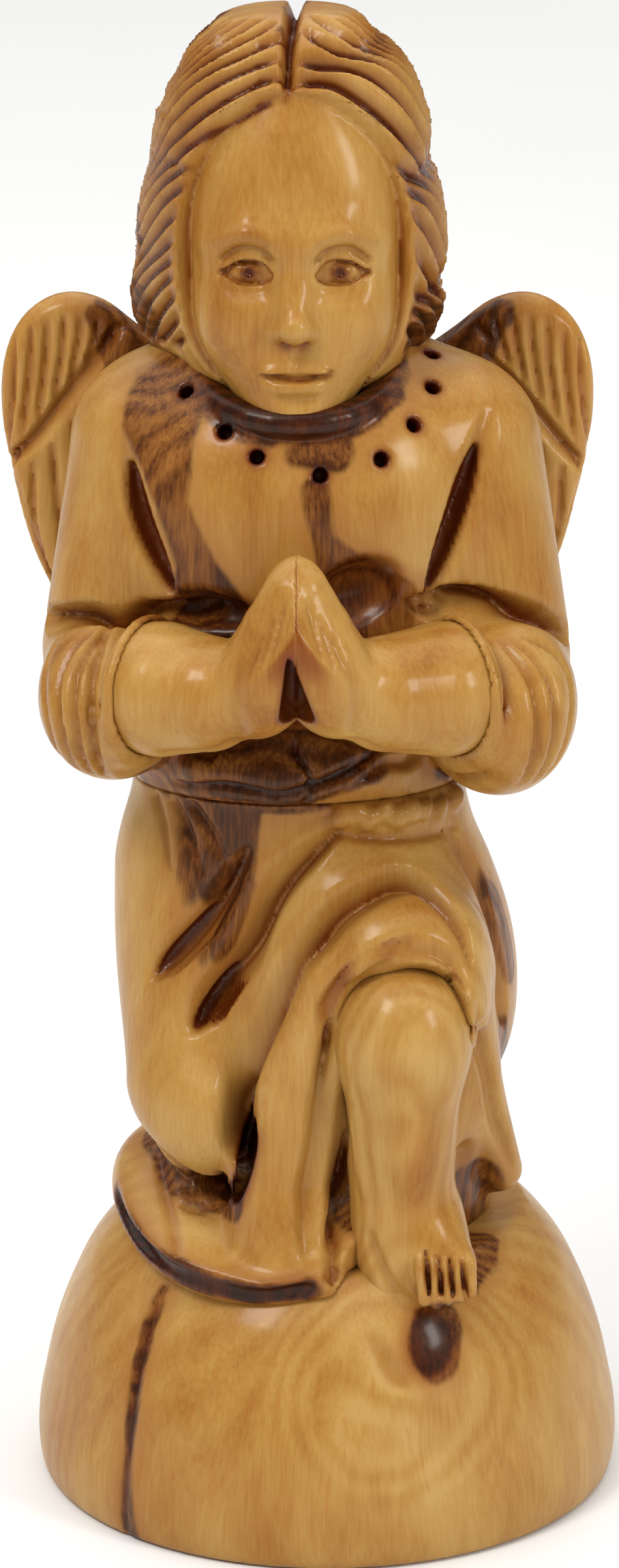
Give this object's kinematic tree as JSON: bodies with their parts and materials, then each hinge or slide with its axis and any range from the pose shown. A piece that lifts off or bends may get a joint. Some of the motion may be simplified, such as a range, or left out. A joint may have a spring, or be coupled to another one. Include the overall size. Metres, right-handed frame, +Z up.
{
  "type": "kneeling angel figurine",
  "caption": "Carved olive wood angel kneeling in prayer on a round mound, with separate head, forearms, wings and skirt glued on dowels.",
  "frame": {"origin": "centre of the round resting face under the mound", "axes": "+Z up, -Y the way the figure looks, +X to the viewer's right"},
  "size_m": [0.063, 0.0598, 0.1494],
  "materials": {
    "olive_wood": "hand carved, clear satin lacquer, brown heartwood streaks",
    "wing_wood": "hand carved, clear satin lacquer, straight grain",
    "dowel_wood": "plain turned beech"
  },
  "bodies": {
    "root": {"base_mound": "olive_wood", "skirt": "olive_wood", "left_leg": "olive_wood", "torso": "olive_wood", "head": "olive_wood", "right_forearm": "olive_wood", "left_forearm": "olive_wood", "right_wing": "wing_wood", "left_wing": "wing_wood", "base_dowels": "dowel_wood", "waist_dowels": "dowel_wood", "neck_dowel": "dowel_wood", "wing_dowels": "dowel_wood", "forearm_dowels": "dowel_wood"}
  },
  "joints": []
}
